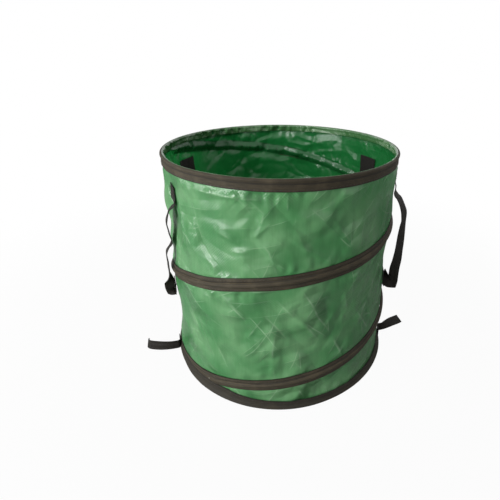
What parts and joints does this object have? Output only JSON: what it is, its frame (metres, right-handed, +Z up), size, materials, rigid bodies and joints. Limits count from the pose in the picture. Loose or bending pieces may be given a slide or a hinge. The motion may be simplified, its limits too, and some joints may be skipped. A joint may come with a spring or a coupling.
{
  "type": "pop up leaf bag",
  "caption": "Round cloth leaf bag held open by a sprung wire coil, with bound hoops, webbing handles and closing straps; presses flat.",
  "frame": {"origin": "middle of the underside of the base panel, on the ground, with the bag standing open", "axes": "+Z up the bag's axis, +X towards the right handle, -Y towards the front"},
  "size_m": [0.5557, 0.4558, 0.432],
  "materials": {
    "cloth": "woven polyethylene tape cloth, film laminated, satin gloss",
    "binding_tape": "ribbed polypropylene binding tape, matt",
    "webbing": "flat polypropylene webbing, matt",
    "spring_wire": "hard drawn spring steel wire, bright",
    "crimp": "zinc plated steel, crimped",
    "hook_and_loop": "woven nylon hook and loop, matt"
  },
  "bodies": {
    "base": {"base_panel": "cloth", "side_wall": "cloth", "base_binding": "binding_tape", "base_seam_tape": "binding_tape", "base_hoop_wire": "spring_wire", "base_hoop_sleeve": "crimp", "coil_tape": "binding_tape", "coil_spring_wire": "spring_wire", "coil_tip_upper": "crimp", "coil_tip_lower": "crimp", "closure_patch_left": "hook_and_loop", "closure_patch_right": "hook_and_loop", "handle_tab_upper_left": "webbing", "handle_tab_lower_left": "webbing", "handle_tab_upper_right": "webbing", "handle_tab_lower_right": "webbing", "strap_tab_left": "webbing", "strap_tab_right": "webbing"},
    "rim": {"rim_binding": "binding_tape", "rim_hem": "cloth", "rim_hoop_wire": "spring_wire", "rim_hoop_sleeve": "crimp"},
    "left_handle": {"handle_left": "webbing"},
    "right_handle": {"handle_right": "webbing"},
    "left_strap": {"closing_strap_left": "webbing", "strap_hook_pad_left": "hook_and_loop"},
    "right_strap": {"closing_strap_right": "webbing", "strap_hook_pad_right": "hook_and_loop"}
  },
  "joints": [
    {"name": "collapse", "type": "slide", "parent": "base", "child": "rim", "axis": [0, 0, -1], "range_m": [0, 0.387], "stiffness_N_per_m": 60, "springref_m": -0.1, "deforming": ["side_wall", "coil_tape", "coil_spring_wire", "coil_tip_upper", "coil_tip_lower", "closure_patch_left", "closure_patch_right", "handle_tab_upper_left", "handle_tab_lower_left", "handle_tab_upper_right", "handle_tab_lower_right", "handle_left", "handle_right"]},
    {"name": "left_handle_swing", "type": "hinge", "parent": "base", "child": "left_handle", "pos_m": [-0.20094, -0.09584, 0.24809], "axis": [0.1087, -0.2279, 0.9676], "range_deg": [-20, 20]},
    {"name": "right_handle_swing", "type": "hinge", "parent": "base", "child": "right_handle", "pos_m": [0.22457, -0.03156, 0.248], "axis": [0, 0, 1], "range_deg": [-20, 20]},
    {"name": "left_strap_lift", "type": "hinge", "parent": "base", "child": "left_strap", "pos_m": [-0.22227, -0.0809, 0.0105], "axis": [0, 1, 0], "range_deg": [0, 85]},
    {"name": "right_strap_lift", "type": "hinge", "parent": "base", "child": "right_strap", "pos_m": [0.23551, -0.0206, 0.0105], "axis": [0.3007, -0.9537, 0], "range_deg": [0, 85]}
  ]
}
